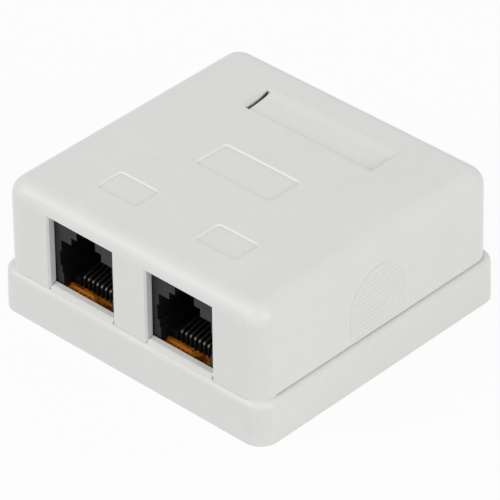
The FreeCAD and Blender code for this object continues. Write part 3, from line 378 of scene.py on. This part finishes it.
def track_mask(tree):
    """Copper tracks that run front to back on both faces of the board, with a few small jogs."""
    place = object_place(tree)
    along = noise(tree, stretched(tree, place, (0.0, 1.0, 0.0)), JOG_SCALE, 0.0)
    jog = arithmetic(tree, "FLOOR", arithmetic(tree, "MULTIPLY", along, JOG_STEPS))
    shift = arithmetic(tree, "MULTIPLY", jog, JOG_SHIFT)
    across = arithmetic(tree, "ADD", split(tree, place)["X"], shift)
    phase = arithmetic(tree, "FRACT", arithmetic(tree, "DIVIDE", across, TRACK_PITCH))
    from_middle = arithmetic(tree, "ABSOLUTE", arithmetic(tree, "SUBTRACT", phase, 0.5))
    track = remap(tree, from_middle, *TRACK_EDGE, 1.0, 0.0)
    facing = arithmetic(tree, "ABSOLUTE", split(tree, flat_normal(tree))["Z"])
    return arithmetic(tree, "MULTIPLY", track, remap(tree, facing, *TRACK_FACING))


def solder_mask(name, green, over_copper, roughness):
    """Green lacquer on the board, lighter and a little raised over the copper tracks."""
    material, tree, surface = finish_base(name)
    skin = place_group(tree, GRAIN, Grain_scale=LACQUER_GRAIN, Flow_scale=LACQUER_FLOW)
    arris = place_group(tree, SOFT_EDGE)
    track = track_mask(tree)
    tinted = blend_colours(tree, skin["Tone"], scaled(green, 1 - LACQUER_TONE), green)
    shine = remap(tree, skin["Gloss"], *GLOSS_SPAN,
                  roughness - LACQUER_SPREAD, roughness + LACQUER_SPREAD)
    join(tree, (blend_colours(tree, track, tinted, over_copper), surface.inputs["Base Color"]),
         (shine, surface.inputs["Roughness"]))
    add_relief(tree, surface, track, TRACK_RELIEF, TRACK_HEIGHT, arris["Normal"])
    return material


FINISHES = {
    # the white housing gets painted shade in its corners and slots and a painted highlight on its
    # arrises
    "housing_white": moulded_plastic(
        "White housing plastic", (0.80, 0.803, 0.787), 0.34, painted_corner_shade=0.2, painted_arris_light=0.1, slots=0.9),
    "socket_grey": moulded_plastic(
        "Charcoal socket plastic", (0.0035, 0.003, 0.004), 0.5, tone=0.15, specular=0.44),
    "guide_amber": moulded_plastic(
        "Amber guide plastic", (0.64, 0.215, 0.008), 0.26, flow=420.0, tone=0.7,
        clouds=(1000.0, (0.12, 0.022, 0.001))),
    "comb_black": moulded_plastic(
        "Black comb plastic", (0.003, 0.003, 0.003), 0.6, tone=0.2, specular=0.2),
    "spring_gold": drawn_metal(
        "Plated spring wire", (0.115, 0.109, 0.097), 0.42, (0.072, 0.065, 0.052),
        relief=0.08, edge=0.2),
    "board_green": solder_mask(
        "Green solder mask", (0.022, 0.13, 0.048), (0.05, 0.24, 0.085), 0.28),
    "terminal_ivory": moulded_plastic("Ivory terminal plastic", (0.74, 0.72, 0.65), 0.4),
    "blade_tinned": drawn_metal("Tinned blade", (0.74, 0.73, 0.70), 0.3, (0.5, 0.49, 0.46)),
    "screw_zinc": drawn_metal("Zinc plated screw", (0.70, 0.71, 0.73), 0.3, (0.45, 0.46, 0.48)),
}


def dress_nodes():
    """Every node of the model gets the finish of its material slot."""
    for part in frame["record"]["subparts"]:
        obj = frame["nodes"][part["node"]]
        finish = FINISHES[part["material_slot"]]
        if not obj.material_slots:
            obj.data.materials.append(finish)
        for slot in obj.material_slots:
            slot.material = finish


# ---------------------------------------------------------------- studio

def seen_directly(tree):
    """1 for rays from the camera, a reflection or glass, 0 for the light that falls on the object."""
    path = add(tree, "ShaderNodeLightPath")
    either = arithmetic(tree, "MAXIMUM", path.outputs["Is Camera Ray"], path.outputs["Is Glossy Ray"])
    return arithmetic(tree, "MAXIMUM", either, path.outputs["Is Transmission Ray"])


def make_floor():
    """Pale floor that shows as the white background, apart from the object's faint shadow."""
    material = bpy.data.materials.new("Pale studio floor")
    tree = tree_of(material)
    out = add(tree, "ShaderNodeOutputMaterial")
    matt = add(tree, "ShaderNodeBsdfDiffuse")
    matt.inputs["Color"].default_value = (FLOOR_GREY, FLOOR_GREY, FLOOR_GREY, 1.0)
    glow = add(tree, "ShaderNodeEmission")
    glow.inputs["Strength"].default_value = SHOWN_WHITE
    mix = add(tree, "ShaderNodeMixShader")
    shown = arithmetic(tree, "MULTIPLY", seen_directly(tree), FLOOR_GLOW)
    join(tree, (shown, mix.inputs[0]), (matt.outputs[0], mix.inputs[1]),
         (glow.outputs[0], mix.inputs[2]), (mix.outputs[0], out.inputs["Surface"]))
    mesh = bpy.data.meshes.new("studio_floor")
    corners = [(x * FLOOR_HALF, y * FLOOR_HALF, 0.0) for x, y in ((-1, -1), (1, -1), (1, 1), (-1, 1))]
    mesh.from_pydata(corners, [], [(0, 1, 2, 3)])
    mesh.materials.append(material)
    floor = bpy.data.objects.new("studio_floor", mesh)
    bpy.context.scene.collection.objects.link(floor)


def make_room_light():
    """Even light from all round, behind a background that shows as white."""
    world = bpy.data.worlds.new("Studio room")
    bpy.context.scene.world = world
    tree = tree_of(world)
    out = add(tree, "ShaderNodeOutputWorld")
    background = add(tree, "ShaderNodeBackground")
    background.inputs["Color"].default_value = (1.0, 1.0, 1.0, 1.0)
    strength = add(tree, "ShaderNodeMapRange")
    strength.inputs["To Min"].default_value = ROOM_LIGHT
    strength.inputs["To Max"].default_value = SHOWN_WHITE
    join(tree, (seen_directly(tree), strength.inputs["Value"]),
         (strength.outputs["Result"], background.inputs["Strength"]),
         (background.outputs[0], out.inputs["Surface"]))


def make_softbox(name, place, power, colour):
    lamp = bpy.data.lights.new(name, "AREA")
    lamp.shape = "RECTANGLE"
    lamp.size = SOFTBOX_SIZE
    lamp.size_y = SOFTBOX_SIZE
    lamp.energy = power
    lamp.color = colour
    obj = bpy.data.objects.new(name, lamp)
    obj.location = place
    obj.rotation_euler = (SOFTBOX_AIM - Vector(place)).to_track_quat("-Z", "Y").to_euler()
    bpy.context.scene.collection.objects.link(obj)


def make_camera():
    lens = bpy.data.cameras.new("studio_camera")
    lens.sensor_width = SENSOR_WIDTH
    lens.sensor_fit = "HORIZONTAL"
    lens.lens = CAMERA_LENS
    lens.clip_start = CAMERA_NEAR
    lens.clip_end = CAMERA_FAR
    camera = bpy.data.objects.new("studio_camera", lens)
    bpy.context.scene.collection.objects.link(camera)
    azimuth = math.radians(CAMERA_AZIMUTH)
    level = Vector((math.cos(azimuth), math.sin(azimuth), 0.0))
    back = (CAMERA_PLACE - CAMERA_AIM).normalized()
    up = back.cross(level).normalized()
    right = up.cross(back)
    turn = Matrix((right, up, back)).transposed().to_4x4()
    roll = Matrix.Rotation(math.radians(CAMERA_ROLL), 4, "Z")
    camera.matrix_world = Matrix.Translation(CAMERA_PLACE) @ turn @ roll
    bpy.context.scene.camera = camera


def make_studio():
    make_floor()
    make_room_light()
    for box in SOFTBOXES:
        make_softbox(*box)
    make_camera()
    bpy.context.scene.view_settings.view_transform = "Standard"


dress_nodes()
make_studio()
